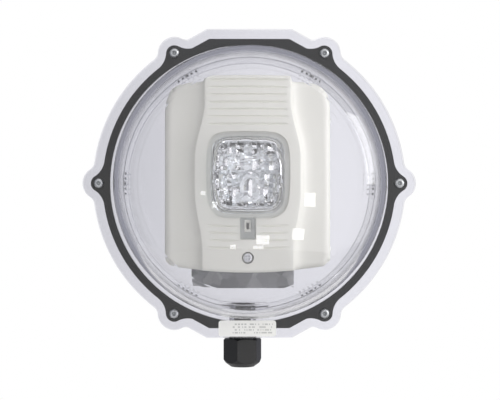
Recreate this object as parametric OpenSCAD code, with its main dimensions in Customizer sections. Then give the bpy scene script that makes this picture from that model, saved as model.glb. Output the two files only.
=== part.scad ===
// Wall horn strobe inside a clear weather and vandal enclosure.
// The wall is the plane y = 0, the front faces -Y and +Z is up. Units are millimetres.
// The origin is the centre of the housing's back face.
// Most pieces are drawn facing: x across, y up, z outwards from the wall.

/* [Enclosure] */
// Outer radius of the dome and of the tub
dome_r = 102; // [100:0.5:130]
// Depth from the wall to the crown of the dome
total_depth = 138; // [128:1:180]
// Depth from the wall to the front of the tub's flange
tub_depth = 45; // [42:1:56]
// Wall of the tub and of the dome
shell_wall = 3.2; // [2.4:0.1:4.2]
// Thickness of each flange
flange_t = 4; // [3:0.5:6]
// How far the flanges stand out beyond the dome
flange_w = 15; // [13:0.5:20]
// How much the flats take off the rim at the top and the bottom
flat_cut = 1.4; // [0.5:0.1:3]
// Radius of the dome's shoulder
shoulder_r = 30; // [22:1:40]
// How much the dome's wall draws in up to its shoulder
dome_draft = 4; // [1:0.5:5]
// Rise of the dome's crown inside its shoulder
crown_rise = 13; // [6:1:20]

/* [Lugs and cover screws] */
// How far the lug centres lie inside the rim
lug_inset = 4.5; // [3:0.5:7]
// Radius of a lug
lug_r = 12.3; // [10:0.1:15]
// Hollow fillet between a lug and the rim
lug_fillet = 8; // [4:1:14]
// Radius of a cover screw's thread
cover_screw_r = 1.9; // [1.4:0.1:2.5]
// Length of a cover screw's thread
cover_screw_l = 18; // [15:1:22]
// Radius of a cover screw's head
cover_head_r = 3.6; // [3.2:0.1:5]
// Height of a cover screw's head
cover_head_h = 2.6; // [2:0.2:4]
// Wall of a brass insert
insert_wall = 1.5; // [1:0.1:2]
// Length of a brass insert
insert_l = 12; // [8:1:16]
// Wall of a screw boss around its insert
boss_wall = 3; // [2:0.5:4]

/* [Gasket] */
// Thickness of the gasket once squeezed
gasket_t = 3; // [2:0.5:5]
// Distance from the flange's rim to the gasket's rim
gasket_inset = 7; // [5:0.5:9]
// Width of the gasket between two lugs
gasket_w = 5.5; // [4:0.5:7]
// Width of gasket around a screw hole
gasket_lug_w = 3.8; // [3:0.1:5]

/* [Wiring box] */
// Width of the wiring box
box_w = 76; // [70:1:90]
// Height of the wiring box
box_h = 140; // [120:1:150]
// Depth of the wiring box
box_d = 47; // [42:1:52]
// Sheet thickness of the wiring box
sheet_t = 1.6; // [1.2:0.1:2.2]
// Height of the wiring box's centre
box_z = -8; // [-14:1:-4]
// Height of the lips turned in at the wiring box's ends
lip_h = 14.5; // [10:0.5:16]
// Height of the posts that the wiring box stands on
post_h = 3; // [2:0.5:5]
// Distance between the plate screws
plate_pitch = 83.3; // [80:0.1:90]

/* [Cable gland] */
// Sideways place of the gland and the wiring box
entry_x = -5; // [-10:1:10]
// Distance of the gland's axis from the wall
entry_d = 23; // [22:1:26]
// Radius of the entry thread
entry_r = 10; // [8:0.5:11]
// Radius of the cable bore
cable_r = 6.5; // [4:0.5:7]
// Width across the flats of the gland's hexagons
gland_af = 26; // [25:1:30]
// Length of the domed nut
nut_l = 21.5; // [20:0.5:26]
// Thread showing between the gland's body and its nut
nut_gap = 4; // [2:0.5:6]

/* [Head] */
// Width of the head
head_w = 120; // [100:1:124]
// Height of the wings on each side of the column
wing_h = 134; // [120:1:136]
// Height of the raised column
column_h = 142; // [130:1:144]
// Width of the column at its ends
column_w = 65; // [60:1:72]
// Width of the column around the lens
waist_w = 77.5; // [74:0.5:84]
// Sideways place of the head's centre
head_x = -1.5; // [-5:0.5:5]
// Height of the head's centre
head_z = 6; // [4:0.5:10]
// Depth of the head from its back edge to the front of the wings
wing_d = 28; // [26:1:34]
// How far the column stands out from the wings
column_rise = 7; // [4:0.5:10]
// Wall of the head's mouldings
head_wall = 2.5; // [2:0.1:3]
// Gap between the grooves
rib_pitch = 5.3; // [4.5:0.1:6]
// Number of grooves above the lens
ribs_above = 7; // [3:1:7]
// Number of grooves below the lens
ribs_below = 4; // [2:1:4]

/* [Strobe] */
// Width of the lens
lens_w = 60; // [54:1:64]
// Height of the lens
lens_h = 62; // [56:1:66]
// How far the lens stands out from the column
lens_d = 22; // [16:1:26]
// Wall of the lens
lens_wall = 2.4; // [2:0.1:3]
// Height of the lens's centre
lens_z = 5; // [4:0.5:8]
// Width of the lens's lower tab
tab_w = 10.8; // [10:0.1:14]
// Length of the lens's lower tab
tab_l = 16; // [14:0.5:17]
// Radius of the reflector's rim
reflector_r = 25; // [22:0.5:26]
// Radius of the flash tube
tube_r = 2.2; // [1.5:0.1:3]
// Length of the flash tube
tube_l = 30; // [24:1:34]

/* [Controls] */
// Travel of the light output slide
slide_travel = 12; // [8:1:12]
// Radius of the tone selector
selector_r = 4; // [3:0.5:6]
// Radius of the sounder's disc
disc_r = 17.5; // [14:0.5:18]

/* [Hidden] */
$fn = 96;
clear = 0.3;          // clearance between pieces that are slid together
running = 0.06;       // radial clearance of a running fit
seat = 0.05;          // gap between two faces that only meet
lugs = 6;
rim_r = dome_r + flange_w;
flat_z = rim_r - flat_cut;
corner_angle = 62;    // direction in which the rim leaves its circle for the flats' corners
lug_c = rim_r - lug_inset;
gasket_r = rim_r - gasket_inset;
gasket_hole_r = cover_screw_r + 2 * clear;
gasket_lug_r = gasket_hole_r + gasket_lug_w;
gasket_fillet = lug_fillet * 2;
dome_back = tub_depth + gasket_t;
dome_front = dome_back + flange_t;
inner_r = dome_r - shell_wall;
insert_r = cover_screw_r + running + insert_wall;
boss_r = insert_r + boss_wall;
boss_l = insert_l + 14;

box_back = shell_wall + post_h;
box_front = box_back + box_d;
pad_z = -(dome_r + 3.5);           // outer face of the gland pad
pad_in_z = -(inner_r - 3);         // inner face of the gland pad
plate_t = 3;
plate_front = box_front + plate_t;
plate_gap = 3;                     // gap round the mounting plate inside the head
ear_x = 12;                        // the ears stand on opposite sides of the box's middle
ear_w = 14;
ground_x = 18;
knockout_r = 11;
knockout_z = 30;
wall_hole_r = 2.6;
wall_hole_x = 62;
wall_hole_z = 50;

head_back_d = box_front + 1;       // back edge of the head's front shell
wing_front = head_back_d + wing_d;
column_front = wing_front + column_rise;
wing_in = wing_front - head_wall;
column_in = column_front - head_wall;
back_d = plate_front + 1;          // rear moulding of the head
back_t = 2.5;
board_d = back_d + 10;
board_t = 1.6;
board_front = board_d + board_t;
board_w = head_w - 28;
board_h = wing_h - 30;
outline_power = 9;                 // squareness of the head's outline
lens_power = 5;                    // squareness of the lens's outline
screw_z = lens_z - 59.4;           // height of the captive screw
screw_r = 1.9;
screw_head_r = 4;
screw_boss_r = 4.5;
lens_front = column_front + lens_d;
lens_lip = 2.5;                    // width of the flange that holds the lens behind the cover
tab_bottom = lens_z - lens_h / 2 - tab_l + 1;
window_w = 5;
window_h = 9;
window_z = tab_bottom + 9.5;
reflector_d = board_front + 9;     // back of the reflector's bowl
reflector_front = column_in - 2.2;
tube_d = column_front + 3;
strip_w = 6;
strip_h = 21;
strip_d = reflector_d + 1.9;       // behind the reflector's rim
strip_top = strip_h + tab_bottom + 4;
stem_w = 3;
stem_z = strip_top - 8;
fix_x = head_w / 2 - 9.5;          // screws between the head's two mouldings
fix_z = wing_h / 2 - 10.5;
fix_r = 1.25;
fix_post_r = 3.6;
fix_head_r = 2.6;
selector_x = head_x + 34;
selector_z = head_z - 36;
sounder_z = head_z + 46;
sounder_r = disc_r + 2.5;
sounder_front = board_front + 10;
terminal_z = head_z + 12;
terminal_ways = 4;
terminal_pitch = 9;
contact_z = head_z - 14;
seal_top = pad_z - 14;
seal_l = 9;
thread_end = pad_z - 22;
nut_top = pad_z - 9 - nut_gap;
nut_bottom = nut_top - nut_l;
ring_top = seal_top - seal_l - seat;
ring_l = 2;
nut_shoulder = ring_top - ring_l - seat;
gland_thread_r = entry_r + 0.5;

// ---- shared shapes ----

// Turns a shape drawn facing the viewer so that its depth runs out from the wall
module facing() {
    rotate([90, 0, 0]) children();
}

// Puts a copy at each lug, with x pointing outwards
module at_lugs() {
    for (i = [0:lugs - 1])
        rotate(i * 360 / lugs) children();
}

// Slab of a flat outline between two depths
module slab(from, to) {
    translate([0, 0, from]) linear_extrude(to - from) children();
}

// Pin or hole between two depths
module pin(r, from, to) {
    translate([0, 0, from]) cylinder(r = r, h = to - from);
}

// Block centred on x and y, between two depths
module block(w, h, from, to) {
    translate([-w / 2, -h / 2, from]) cube([w, h, to - from]);
}

// Points of a rounded, slightly bowed rectangle
function bowed(w, h, power, steps = 64) = [
    for (i = [0:steps - 1])
        let (c = cos(i * 360 / steps), s = sin(i * 360 / steps))
        [w / 2 * sign(c) * pow(abs(c), 2 / power), h / 2 * sign(s) * pow(abs(s), 2 / power)]
];

// Lug with hollow fillets, on a rim of radius r. Each fillet bites a little into both circles.
module lug(r, lug_radius, fillet) {
    bite = 0.05;
    reach = r + fillet - bite;
    lug_reach = lug_radius + fillet - bite;
    a = acos((pow(reach, 2) + pow(lug_c, 2) - pow(lug_reach, 2)) / (2 * reach * lug_c));
    translate([lug_c, 0]) circle(lug_radius);
    difference() {
        polygon([[0, 0], reach * [cos(a), -sin(a)], [lug_c, 0], reach * [cos(a), sin(a)]]);
        for (side = [-1, 1])
            rotate(side * a) translate([reach, 0]) circle(fillet);
    }
}

// Circle with two flats whose corners stand out a little. The slopes to the corners start just
// inside the circle, so that they cross it cleanly.
module flatted(r, flat) {
    corner = (r - flat * sin(corner_angle)) / cos(corner_angle);
    x = (r - 0.3) * cos(corner_angle);
    y = (r - 0.3) * sin(corner_angle);
    intersection() {
        union() {
            circle(r);
            polygon([[x, y], [corner, flat], [-corner, flat], [-x, y],
                [-x, -y], [-corner, -flat], [corner, -flat], [x, -y]]);
        }
        square([4 * r, 2 * flat], center = true);
    }
}

// Outline of both flanges
module flange_outline() {
    flatted(rim_r, flat_z);
    at_lugs() lug(rim_r, lug_r, lug_fillet);
}

// Section of the dome's outside, or of its inside when it is drawn in by a wall
module dome_section(wall) {
    r = dome_r - dome_draft - wall;
    s = shoulder_r - wall;
    crown_r = (pow(r - s, 2) + pow(crown_rise, 2)) / (2 * crown_rise) + s;
    crown_c = total_depth - wall - crown_r;
    shoulder_c = crown_c + sqrt(pow(crown_r - s, 2) - pow(r - s, 2));
    polygon([[0, dome_back - seat], [r + dome_draft, dome_back - seat], [r, shoulder_c], [0, shoulder_c]]);
    translate([r - s, shoulder_c]) circle(s);
    intersection() {
        translate([0, crown_c]) circle(crown_r);
        polygon([[0, crown_c], [0, 2 * total_depth], 2 * [r - s, shoulder_c - crown_c] + [0, crown_c]]);
    }
}

// Screw that points into the wall: head from depth d outwards, thread inwards
module screw(d, head_radius, head_height, thread_r, length) {
    difference() {
        union() {
            pin(head_radius, d, d + head_height);
            pin(thread_r, d - length, d);
        }
        for (a = [0, 90])
            rotate(a)
                block(head_radius * 1.2, head_radius * 0.26, d + head_height * 0.4, d + head_height + 1);
    }
}

// ---- enclosure ----

module rear_housing() {
    boss_from = tub_depth - boss_l;
    color("lavender", 0.4) facing() difference() {
        union() {
            // Floor and wall in one turned shell
            rotate_extrude() difference() {
                union() {
                    translate([0, 4]) square([dome_r, tub_depth - 4]);
                    square([dome_r - 4, 4]);
                    translate([dome_r - 4, 4]) circle(4);
                }
                translate([0, shell_wall]) square([inner_r, tub_depth]);
            }
            slab(tub_depth - flange_t, tub_depth) difference() {
                flange_outline();
                circle(inner_r);
            }
            at_lugs() {
                translate([lug_c, 0]) pin(boss_r, boss_from, tub_depth - seat);
                translate([dome_r - 1, -2, boss_from]) cube([lug_c - dome_r, 4, boss_l - 1]);
                // Stiffening ribs inside the wall
                for (y = [-8:4:8])
                    translate([inner_r - 3, y - 0.8, 1]) cube([4, 1.6, tub_depth - 8]);
            }
            // Flat pad for the gland
            translate([entry_x - 20, pad_z, entry_d - 18]) cube([40, pad_in_z - pad_z, 36]);
            for (x = [-1, 1], z = [-1, 1]) {
                translate([x * wall_hole_x, z * wall_hole_z]) pin(7, 1, shell_wall + 4);
                translate([entry_x + x * box_w / 3, box_z + z * box_h / 3]) pin(5, 1, box_back);
            }
        }
        at_lugs() translate([lug_c, 0]) {
            pin(insert_r, tub_depth - insert_l, tub_depth + 1);
            pin(cover_screw_r + clear, tub_depth - insert_l - 8, tub_depth);
        }
        for (x = [-1, 1], z = [-1, 1]) {
            translate([x * wall_hole_x, z * wall_hole_z]) pin(wall_hole_r, -1, tub_depth);
            translate([entry_x + x * box_w / 3, box_z + z * box_h / 3]) pin(1.7, 1.5, tub_depth);
        }
        translate([entry_x, 0, entry_d]) rotate([90, 0, 0]) cylinder(r = entry_r + running, h = 2 * dome_r);
    }
}

module housing_inserts() {
    color("goldenrod") facing() at_lugs() translate([lug_c, 0]) difference() {
        pin(insert_r, tub_depth - insert_l, tub_depth);
        pin(cover_screw_r + running, 0, tub_depth + 1);
    }
}

module gasket() {
    color("black") facing() slab(tub_depth, dome_back) difference() {
        union() {
            flatted(gasket_r, flat_z - gasket_inset);
            at_lugs() lug(gasket_r, gasket_lug_r, gasket_fillet);
        }
        intersection() {
            circle(gasket_r - gasket_w);
            square([4 * gasket_r, 2 * (flat_z - gasket_inset - gasket_w)], center = true);
        }
        at_lugs() translate([lug_c, 0]) circle(gasket_hole_r);
    }
}

module dome() {
    color("lavender", 0.3) facing() difference() {
        union() {
            slab(dome_back, dome_front) flange_outline();
            intersection() {
                rotate_extrude() intersection() {
                    dome_section(0);
                    square([2 * dome_r, 2 * total_depth]);
                }
                block(3 * rim_r, 3 * rim_r, dome_back, total_depth + 1);
            }
        }
        rotate_extrude() intersection() {
            dome_section(shell_wall);
            square([2 * dome_r, 2 * total_depth]);
        }
        at_lugs() translate([lug_c, 0]) pin(cover_screw_r + clear, dome_back - 1, dome_front + 1);
    }
}

module dome_screws() {
    color("silver") facing() at_lugs() translate([lug_c, 0]) difference() {
        union() {
            pin(cover_head_r, dome_front, dome_front + cover_head_h);
            pin(cover_screw_r, dome_front - cover_screw_l, dome_front);
        }
        // Security socket with a centre pin
        difference() {
            translate([0, 0, dome_front + cover_head_h / 3])
                cylinder(r = cover_head_r * 0.55, h = 9, $fn = 6);
            pin(cover_head_r * 0.16, dome_front, dome_front + cover_head_h - 0.4);
        }
    }
}

module rating_label() {
    label_h = flat_z - dome_r - 1.6;
    label_w = 43;
    corner = 2;
    color("white") facing() translate([head_x, -(dome_r + 0.6 + label_h / 2)])
        slab(dome_front, dome_front + 0.3) {
            square([label_w - 2 * corner, label_h], center = true);
            square([label_w, label_h - 2 * corner], center = true);
            for (x = [-1, 1], y = [-1, 1])
                translate([x * (label_w / 2 - corner), y * (label_h / 2 - corner)]) circle(corner);
        }
}

// ---- cable gland, its axis along Z ----

module on_entry() {
    translate([entry_x, -entry_d, 0]) children();
}

module hexagon(af) {
    rotate(15) circle(r = af / sqrt(3), $fn = 6);
}

module gland_body() {
    color([0.12, 0.12, 0.13]) on_entry() difference() {
        union() {
            // Threaded end, screwed into the pad
            pin(entry_r, thread_end, pad_in_z);
            slab(pad_z - 9, pad_z - 2) hexagon(gland_af);
            pin(gland_thread_r, thread_end, pad_z - 9);
        }
        pin(cable_r, thread_end - 1, pad_in_z + 1);
        pin(cable_r + 2, thread_end - 1, seal_top);
    }
}

module gland_washer() {
    color("black") on_entry() difference() {
        pin(entry_r + 3.4, pad_z - 2, pad_z);
        pin(entry_r, pad_z - 3, pad_z + 1);
    }
}

module gland_seal() {
    color([0.1, 0.1, 0.1]) on_entry() difference() {
        pin(cable_r + 2 - seat, seal_top - seal_l, seal_top);
        pin(cable_r - 0.5, seal_top - seal_l - 1, seal_top + 1);
    }
}

module gland_thrust_ring() {
    color([0.2, 0.2, 0.2]) on_entry() difference() {
        pin(gland_thread_r - 1, ring_top - ring_l, ring_top);
        pin(cable_r, ring_top - ring_l - 1, ring_top + 1);
    }
}

module gland_nut() {
    hex_r = gland_af / sqrt(3);
    dome_l = nut_l * 0.3;
    color([0.13, 0.13, 0.14]) on_entry() difference() {
        intersection() {
            slab(nut_bottom, nut_top) hexagon(gland_af);
            rotate_extrude() polygon([[0, nut_bottom], [cable_r + 2.5, nut_bottom],
                [hex_r * 0.86, nut_bottom + dome_l * 0.45], [hex_r + 0.5, nut_bottom + dome_l],
                [hex_r + 0.5, nut_top - 1.2], [hex_r - 1.6, nut_top], [0, nut_top]]);
        }
        pin(gland_thread_r + running, nut_shoulder, nut_top + 1);
        pin(cable_r, nut_bottom - 1, nut_top);
    }
}

// ---- wiring box and mounting plate ----

module at_box() {
    translate([entry_x, box_z]) children();
}

// Puts a copy at each plate screw
module at_ears() {
    for (s = [-1, 1])
        translate([entry_x + s * ear_x, box_z + s * plate_pitch / 2]) children();
}

module wiring_box() {
    in_w = box_w - 2 * sheet_t;
    in_h = box_h - 2 * sheet_t;
    ear_from = plate_pitch / 2 - 6;
    ear_to = box_h / 2 - sheet_t / 2;
    color("darkgray") facing() difference() {
        union() {
            at_box() difference() {
                block(box_w, box_h, box_back, box_front);
                block(in_w, in_h, box_back + sheet_t, box_front + 1);
            }
            // Ears that take the plate screws
            for (s = [-1, 1])
                translate([entry_x + s * ear_x, box_z + s * (ear_from + ear_to) / 2])
                    block(ear_w, ear_to - ear_from, box_front - sheet_t, box_front);
            // Lips at both ends
            at_box() for (s = [-1, 1])
                translate([0, s * (box_h - lip_h) / 2]) block(box_w, lip_h, box_front - sheet_t, box_front);
            // Outlines of the knockouts
            at_box() for (s = [-1, 1], z = [-knockout_z, knockout_z])
                translate([s * box_w / 2, z, (box_back + box_front) / 2]) rotate([0, 90, 0]) difference() {
                    cylinder(r = knockout_r, h = 0.8, center = true);
                    cylinder(r = knockout_r - 1, h = 2, center = true);
                }
        }
        at_ears() pin(screw_r - 0.1, box_front - 5, box_front + 1);
        at_box() {
            for (x = [-1, 1], z = [-1, 1])
                translate([x * box_w / 3, z * box_h / 3]) pin(2.1, 0, box_back + 5);
            translate([ground_x, 0]) pin(1.8, 0, box_back + 5);
            translate([0, 0, entry_d]) rotate([90, 0, 0]) cylinder(r = entry_r + 1, h = box_h);
        }
    }
}

module box_screws() {
    color("silver") facing() at_box() for (x = [-1, 1], z = [-1, 1])
        translate([x * box_w / 3, z * box_h / 3]) screw(box_back + sheet_t, 3.6, 2.4, 1.6, 6);
}

module box_grommet() {
    color("black") translate([entry_x, -entry_d, box_z - box_h / 2]) difference() {
        union() {
            pin(entry_r + 1, 0, sheet_t + 1.6);
            pin(entry_r + 3, sheet_t, sheet_t + 1.6);
        }
        pin(cable_r + 0.5, -3, sheet_t + 3);
    }
}

module ground_screw() {
    color("green") facing() at_box() translate([ground_x, 0])
        screw(box_back + sheet_t, 4.2, 2.4, 1.7, sheet_t + 1.2);
}

module plate_outline() {
    grow = 2 * (head_wall + plate_gap);
    translate([head_x, head_z]) polygon(bowed(head_w - grow, wing_h - grow, outline_power));
}

module mounting_plate() {
    color("ivory") facing() difference() {
        union() {
            slab(box_front, plate_front) plate_outline();
            // Threaded post for the head's captive screw
            translate([head_x, screw_z]) pin(screw_boss_r, box_front, back_d + 9);
            // Hooks that the head hangs on
            for (s = [-1, 1])
                translate([head_x + s * 24, head_z + wing_h / 2 - 12])
                    block(8, 4, box_front, plate_front + 0.8);
        }
        // Slots for the box screws
        at_ears() {
            block(8, 2 * screw_r + 0.6, box_front - 1, plate_front + 1);
            block(ear_w, 9, plate_front - 1.6, plate_front + 1);
        }
        translate([head_x, contact_z - 16]) block(30, 10, box_front - 1, plate_front + 1);
        translate([head_x, screw_z]) pin(screw_r, box_front - 1, back_d + 10);
    }
}

module plate_screws() {
    color("silver") facing() at_ears() screw(plate_front - 1.6, 3.4, 1.5, screw_r - 0.2, 10);
}

module at_terminals() {
    for (i = [0:terminal_ways - 1])
        translate([head_x + (i - (terminal_ways - 1) / 2) * terminal_pitch, terminal_z]) children();
}

module terminal_block() {
    color([0.2, 0.2, 0.2]) facing() difference() {
        translate([head_x, terminal_z])
            block(terminal_ways * terminal_pitch + 2, 14, plate_front, plate_front + 8);
        at_terminals() {
            pin(3, plate_front + 3, plate_front + 9);
            pin(1.7, plate_front + 1.2, plate_front + 9);
            // Wire mouth below each clamp
            translate([0, -5]) block(5, 6, plate_front + 1.4, plate_front + 5);
        }
    }
}

module terminal_screws() {
    color("silver") facing() at_terminals() screw(plate_front + 4.4, 2.8, 1.8, 1.5, 2.8);
}

module at_contacts() {
    for (i = [0:3])
        translate([head_x + (i - 1.5) * 8, contact_z]) children();
}

module contact_springs() {
    color("goldenrod") facing() at_contacts() union() {
        block(3, 12, plate_front, plate_front + 0.4);
        translate([0, -1]) block(3, 4, plate_front, plate_front + 0.8);
    }
}

module contact_pins() {
    color("goldenrod") facing() at_contacts() translate([0, -1]) union() {
        pin(0.9, plate_front + 0.8, board_d);
        pin(2, board_d - 1.2, board_d);
    }
}

// ---- head ----

// Half width of the column at a height above the lens centre
function column_half(z) =
    let (t = min(1, max(0, (abs(z) - 12) / 44)))
    (waist_w + (column_w - waist_w) * (1 - cos(180 * t)) / 2) / 2;

// Front outline of the column, drawn in by an inset
module column_outline(inset) {
    top = head_z + column_h / 2 - inset;
    bottom = head_z - column_h / 2 + inset;
    steps = 24;
    bow = 3;
    right = [for (i = [0:steps]) let (z = bottom + bow + (top - bottom - 2 * bow) * i / steps)
        [column_half(z - lens_z) - inset, z]];
    crown = [for (i = [1:7]) let (u = 1 - i / 4) [u * (column_w / 2 - inset), top - bow * u * u]];
    base = [for (i = [1:7]) let (u = i / 4 - 1) [u * (column_w / 2 - inset), bottom + bow * u * u]];
    left = [for (i = [steps:-1:0]) [-right[i][0], right[i][1]]];
    translate([head_x, 0]) polygon(concat(right, crown, left, base));
}

module wing_outline(inset) {
    translate([head_x, head_z]) polygon(bowed(head_w - 2 * inset, wing_h - 2 * inset, outline_power));
}

module at_fixings() {
    for (x = [-1, 1], z = [-1, 1])
        translate([head_x + x * fix_x, head_z + z * fix_z]) children();
}

module lens_outline(grow) {
    translate([head_x, lens_z]) polygon(bowed(lens_w + 2 * grow, lens_h + 2 * grow, lens_power));
    translate([head_x - tab_w / 2 - grow, tab_bottom - grow])
        square([tab_w + 2 * grow, lens_z - tab_bottom + grow]);
}

module head_cover() {
    groove_w = column_w - 9;
    round_d = 4;
    color("ivory") facing() difference() {
        union() {
            difference() {
                hull() {
                    slab(head_back_d, wing_front - round_d) wing_outline(0);
                    slab(wing_front - 1, wing_front) wing_outline(round_d);
                }
                slab(head_back_d - 1, wing_in - 1) wing_outline(head_wall);
                slab(wing_in - 2, wing_in) wing_outline(head_wall + round_d);
            }
            slab(head_back_d, column_front) column_outline(0);
            intersection() {
                at_fixings() pin(fix_post_r, back_d + back_t, wing_in + 1);
                slab(head_back_d, wing_in) wing_outline(1);
            }
        }
        difference() {
            slab(head_back_d - 1, column_in) column_outline(head_wall);
            translate([head_x, screw_z]) pin(screw_boss_r, back_d + 10, column_front);
        }
        // The column's foot is open to the wings
        difference() {
            slab(head_back_d - 1, wing_in - clear) wing_outline(head_wall + seat);
            at_fixings() pin(fix_post_r, back_d + back_t, wing_in + 1);
        }
        slab(column_in - 1, column_front + 1) lens_outline(clear);
        for (i = [0:ribs_above - 1])
            translate([head_x, lens_z + lens_h / 2 + 4 + i * rib_pitch])
                block(groove_w, 1.2, column_front - 0.8, column_front + 1);
        for (i = [0:ribs_below - 1], s = [-1, 1])
            translate([head_x + s * (groove_w / 4 + 4), lens_z - lens_h / 2 - 5 - i * rib_pitch])
                block(groove_w / 2 - 8, 1.2, column_front - 0.8, column_front + 1);
        // Sound outlets in the top end of the column
        for (i = [-2:2])
            translate([head_x + i * 10, head_z + column_h / 2])
                block(6, 10, wing_front - 18, wing_front - 4);
        translate([head_x, screw_z]) {
            pin(screw_r + 0.2, head_back_d, column_front + 1);
            pin(screw_head_r + clear, column_front - 2.8, column_front + 1);
        }
        at_fixings() pin(fix_r + running, head_back_d, wing_in - 2);
    }
}

// Slot that the output slide's stem runs in
module stem_slot(from, to) {
    translate([head_x, stem_z - slide_travel / 2])
        block(stem_w + 1, stem_w + slide_travel + 2, from, to);
}

module head_back() {
    color("ivory") facing() difference() {
        slab(back_d, back_d + back_t) wing_outline(head_wall + clear);
        translate([head_x, screw_z]) pin(screw_boss_r + clear, back_d - 1, back_d + 5);
        translate([head_x, terminal_z]) block(terminal_ways * terminal_pitch + 6, 18, back_d - 1, back_d + 5);
        at_contacts() translate([0, -1]) pin(1.2, back_d - 1, back_d + 5);
        stem_slot(back_d - 1, back_d + 5);
        translate([selector_x, selector_z]) pin(selector_r + clear, back_d - 1, back_d + 5);
        at_fixings() {
            pin(fix_r + clear, back_d - 1, back_d + 5);
            pin(fix_head_r + clear, back_d - 1, back_d + 1.4);
        }
    }
}

module assembly_screws() {
    color("silver") facing() at_fixings() difference() {
        union() {
            pin(fix_head_r, back_d - 0.2, back_d + 1.4);
            pin(fix_r, back_d, back_d + 12);
        }
        for (a = [0, 90]) rotate(a) block(3, 0.7, back_d - 1, back_d + 0.4);
    }
}

module head_screw() {
    color("silver") facing() translate([head_x, screw_z])
        screw(column_front - 2.8, screw_head_r, 2.4, screw_r - 0.05, column_front - 2.8 - box_front);
}

module circuit_board() {
    color("darkgreen") facing() difference() {
        translate([head_x, head_z]) block(board_w, board_h, board_d, board_front);
        translate([head_x, screw_z]) block(16, 16, board_d - 1, board_front + 1);
        stem_slot(board_d - 1, board_front + 1);
    }
}

module strobe_lens() {
    taper = 5;
    core_w = lens_w - 2 * (lens_wall + taper);
    core_h = lens_h - 2 * (lens_wall + taper);
    color("white", 0.4) facing() difference() {
        union() {
            slab(column_in - 2, column_in) lens_outline(lens_lip);
            slab(column_in, column_front + 1) lens_outline(0);
            hull() {
                slab(column_front, column_front + 8) translate([head_x, lens_z])
                    polygon(bowed(lens_w, lens_h, lens_power, 48));
                slab(lens_front - 1, lens_front) translate([head_x, lens_z])
                    polygon(bowed(lens_w - 2 * taper, lens_h - 2 * taper, lens_power, 48));
            }
        }
        slab(column_in - 3, column_front + 8 - lens_wall) translate([head_x, lens_z])
            polygon(bowed(lens_w - 2 * lens_wall, lens_h - 2 * lens_wall, lens_power, 48));
        // Stepped prisms inside the lens
        for (i = [0:3])
            slab(column_front + 4, lens_front - lens_wall - i * 1.6) translate([head_x, lens_z])
                polygon(bowed(core_w - 9 * (3 - i), core_h, lens_power, 48));
        // Window over the light output slide
        translate([head_x, window_z]) block(window_w, window_h, column_in - 3, column_front + 0.2);
    }
}

module reflector() {
    depth = reflector_front - reflector_d;
    focus_r = 7;
    outer = [for (i = [0:8]) [focus_r + (reflector_r - focus_r) * sqrt(i / 8), reflector_d + depth * i / 8]];
    inner = [for (i = [7:-1:0]) outer[i] + [-1.2, 1.2]];
    color("silver") facing() difference() {
        union() {
            translate([head_x, lens_z]) rotate_extrude()
                polygon(concat([[0, reflector_d]], outer, inner, [[0, reflector_d + 1.2]]));
            // Flange that fills the lens
            translate([head_x, lens_z]) slab(reflector_front - 1.2, reflector_front) difference() {
                polygon(bowed(lens_w - 2, lens_h - 2, lens_power));
                circle(reflector_r - 0.6);
            }
        }
        for (s = [-1, 1])
            translate([head_x + s * tube_l / 2, lens_z]) pin(1.3, reflector_d - 5, reflector_front + 2);
    }
}

module flash_tube() {
    color("white", 0.5) translate([head_x, -tube_d, lens_z]) rotate([0, 90, 0]) difference() {
        cylinder(r = tube_r, h = tube_l, center = true);
        cylinder(r = tube_r - 0.6, h = tube_l - 6, center = true);
    }
}

module tube_leads() {
    lead_r = 0.5;
    color("silver") for (s = [-1, 1]) {
        translate([head_x + s * tube_l / 2, -tube_d, lens_z])
            rotate([0, s * 90, 0]) cylinder(r = lead_r, h = 1);
        translate([head_x + s * (tube_l / 2 + 0.5), 0, lens_z]) rotate([90, 0, 0])
            pin(lead_r, board_front, tube_d + lead_r);
    }
}

module flash_capacitor() {
    cap_r = 5;
    color("navy") translate([head_x - board_w / 2 + cap_r + 1, -(board_front + cap_r), head_z - 22])
        cylinder(r = cap_r, h = 44);
}

module trigger_transformer() {
    color([0.75, 0.6, 0.2]) facing() translate([head_x + 27, head_z - 8]) union() {
        block(9, 9, board_front, board_front + 1.5);
        pin(3.2, board_front, board_front + 8);
        block(9, 9, board_front + 7, board_front + 8.5);
    }
}

module sounder_disc() {
    color("goldenrod") facing() translate([head_x, sounder_z]) union() {
        pin(disc_r, sounder_front - 4, sounder_front - 3.7);
        pin(disc_r * 0.7, sounder_front - 3.7, sounder_front - 3.4);
    }
}

module sounder_housing() {
    color([0.15, 0.15, 0.15]) facing() translate([head_x, sounder_z]) difference() {
        pin(sounder_r, board_front, sounder_front);
        pin(disc_r, sounder_front - 4, sounder_front - 1.2);
        pin(disc_r - 1.5, board_front + 1, sounder_front - 2);
        pin(5, sounder_front - 3, sounder_front + 1);
    }
}

module candela_slide() {
    color("whitesmoke") facing() union() {
        translate([head_x, strip_top - strip_h / 2]) block(strip_w, strip_h, strip_d, strip_d + 1.2);
        translate([head_x, stem_z]) block(stem_w, stem_w, plate_front + 0.8, strip_d + 0.5);
    }
}

module candela_switch() {
    color("dimgray") facing() translate([head_x, stem_z - slide_travel / 2]) difference() {
        block(10, slide_travel + 12, board_front, board_front + 5);
        translate([-head_x, slide_travel / 2 - stem_z]) stem_slot(board_front - 1, board_front + 6);
    }
}

module tone_selector() {
    color("orange") facing() translate([selector_x, selector_z]) difference() {
        pin(selector_r, back_d - 0.4, board_d - 2);
        block(2 * selector_r - 2, 1.2, back_d - 1, back_d + 0.9);
        translate([selector_r - 1.2, 0]) pin(0.5, back_d - 1, back_d + 0.3);
    }
}

module selector_housing() {
    color("dimgray") facing() translate([selector_x, selector_z]) difference() {
        block(2 * selector_r + 6, 2 * selector_r + 6, back_d + back_t + 0.5, board_d);
        pin(selector_r + running, back_d, board_d - 2 + seat);
    }
}

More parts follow.
